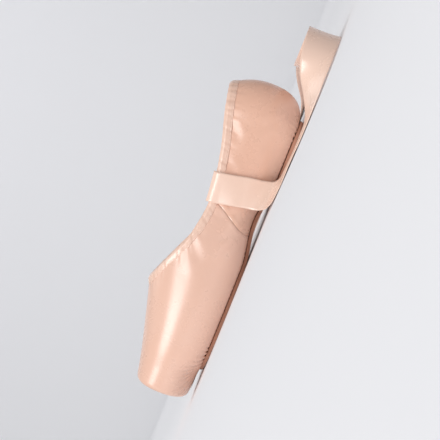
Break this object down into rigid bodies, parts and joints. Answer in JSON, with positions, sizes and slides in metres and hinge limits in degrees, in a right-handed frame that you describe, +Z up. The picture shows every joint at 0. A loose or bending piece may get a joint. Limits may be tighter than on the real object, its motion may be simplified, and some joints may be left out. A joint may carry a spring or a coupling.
{
  "type": "pointe shoe",
  "caption": "Satin pointe shoe on a straight last, with a stiffened box, flat toe platform, slim leather sole and sewn ribbons.",
  "frame": {"origin": "on the floor under the middle of the shoe's length and width, the loose ribbons left out", "axes": "+Z up, -Y towards the toe platform, +Y towards the heel, +X towards the inner side of a right foot"},
  "size_m": [0.2779, 0.3043, 0.0622],
  "materials": {
    "satin": "peach-pink satin, lengthwise sheen",
    "sole_leather": "unpolished split leather, warm tan pink",
    "insole_canvas": "plain off-white cotton sock",
    "ribbon_satin": "pale pink satin ribbon"
  },
  "bodies": {
    "root": {"upper": "satin", "outsole": "sole_leather", "insole": "insole_canvas", "ribbon_inner": "ribbon_satin", "ribbon_outer": "ribbon_satin"}
  },
  "joints": []
}
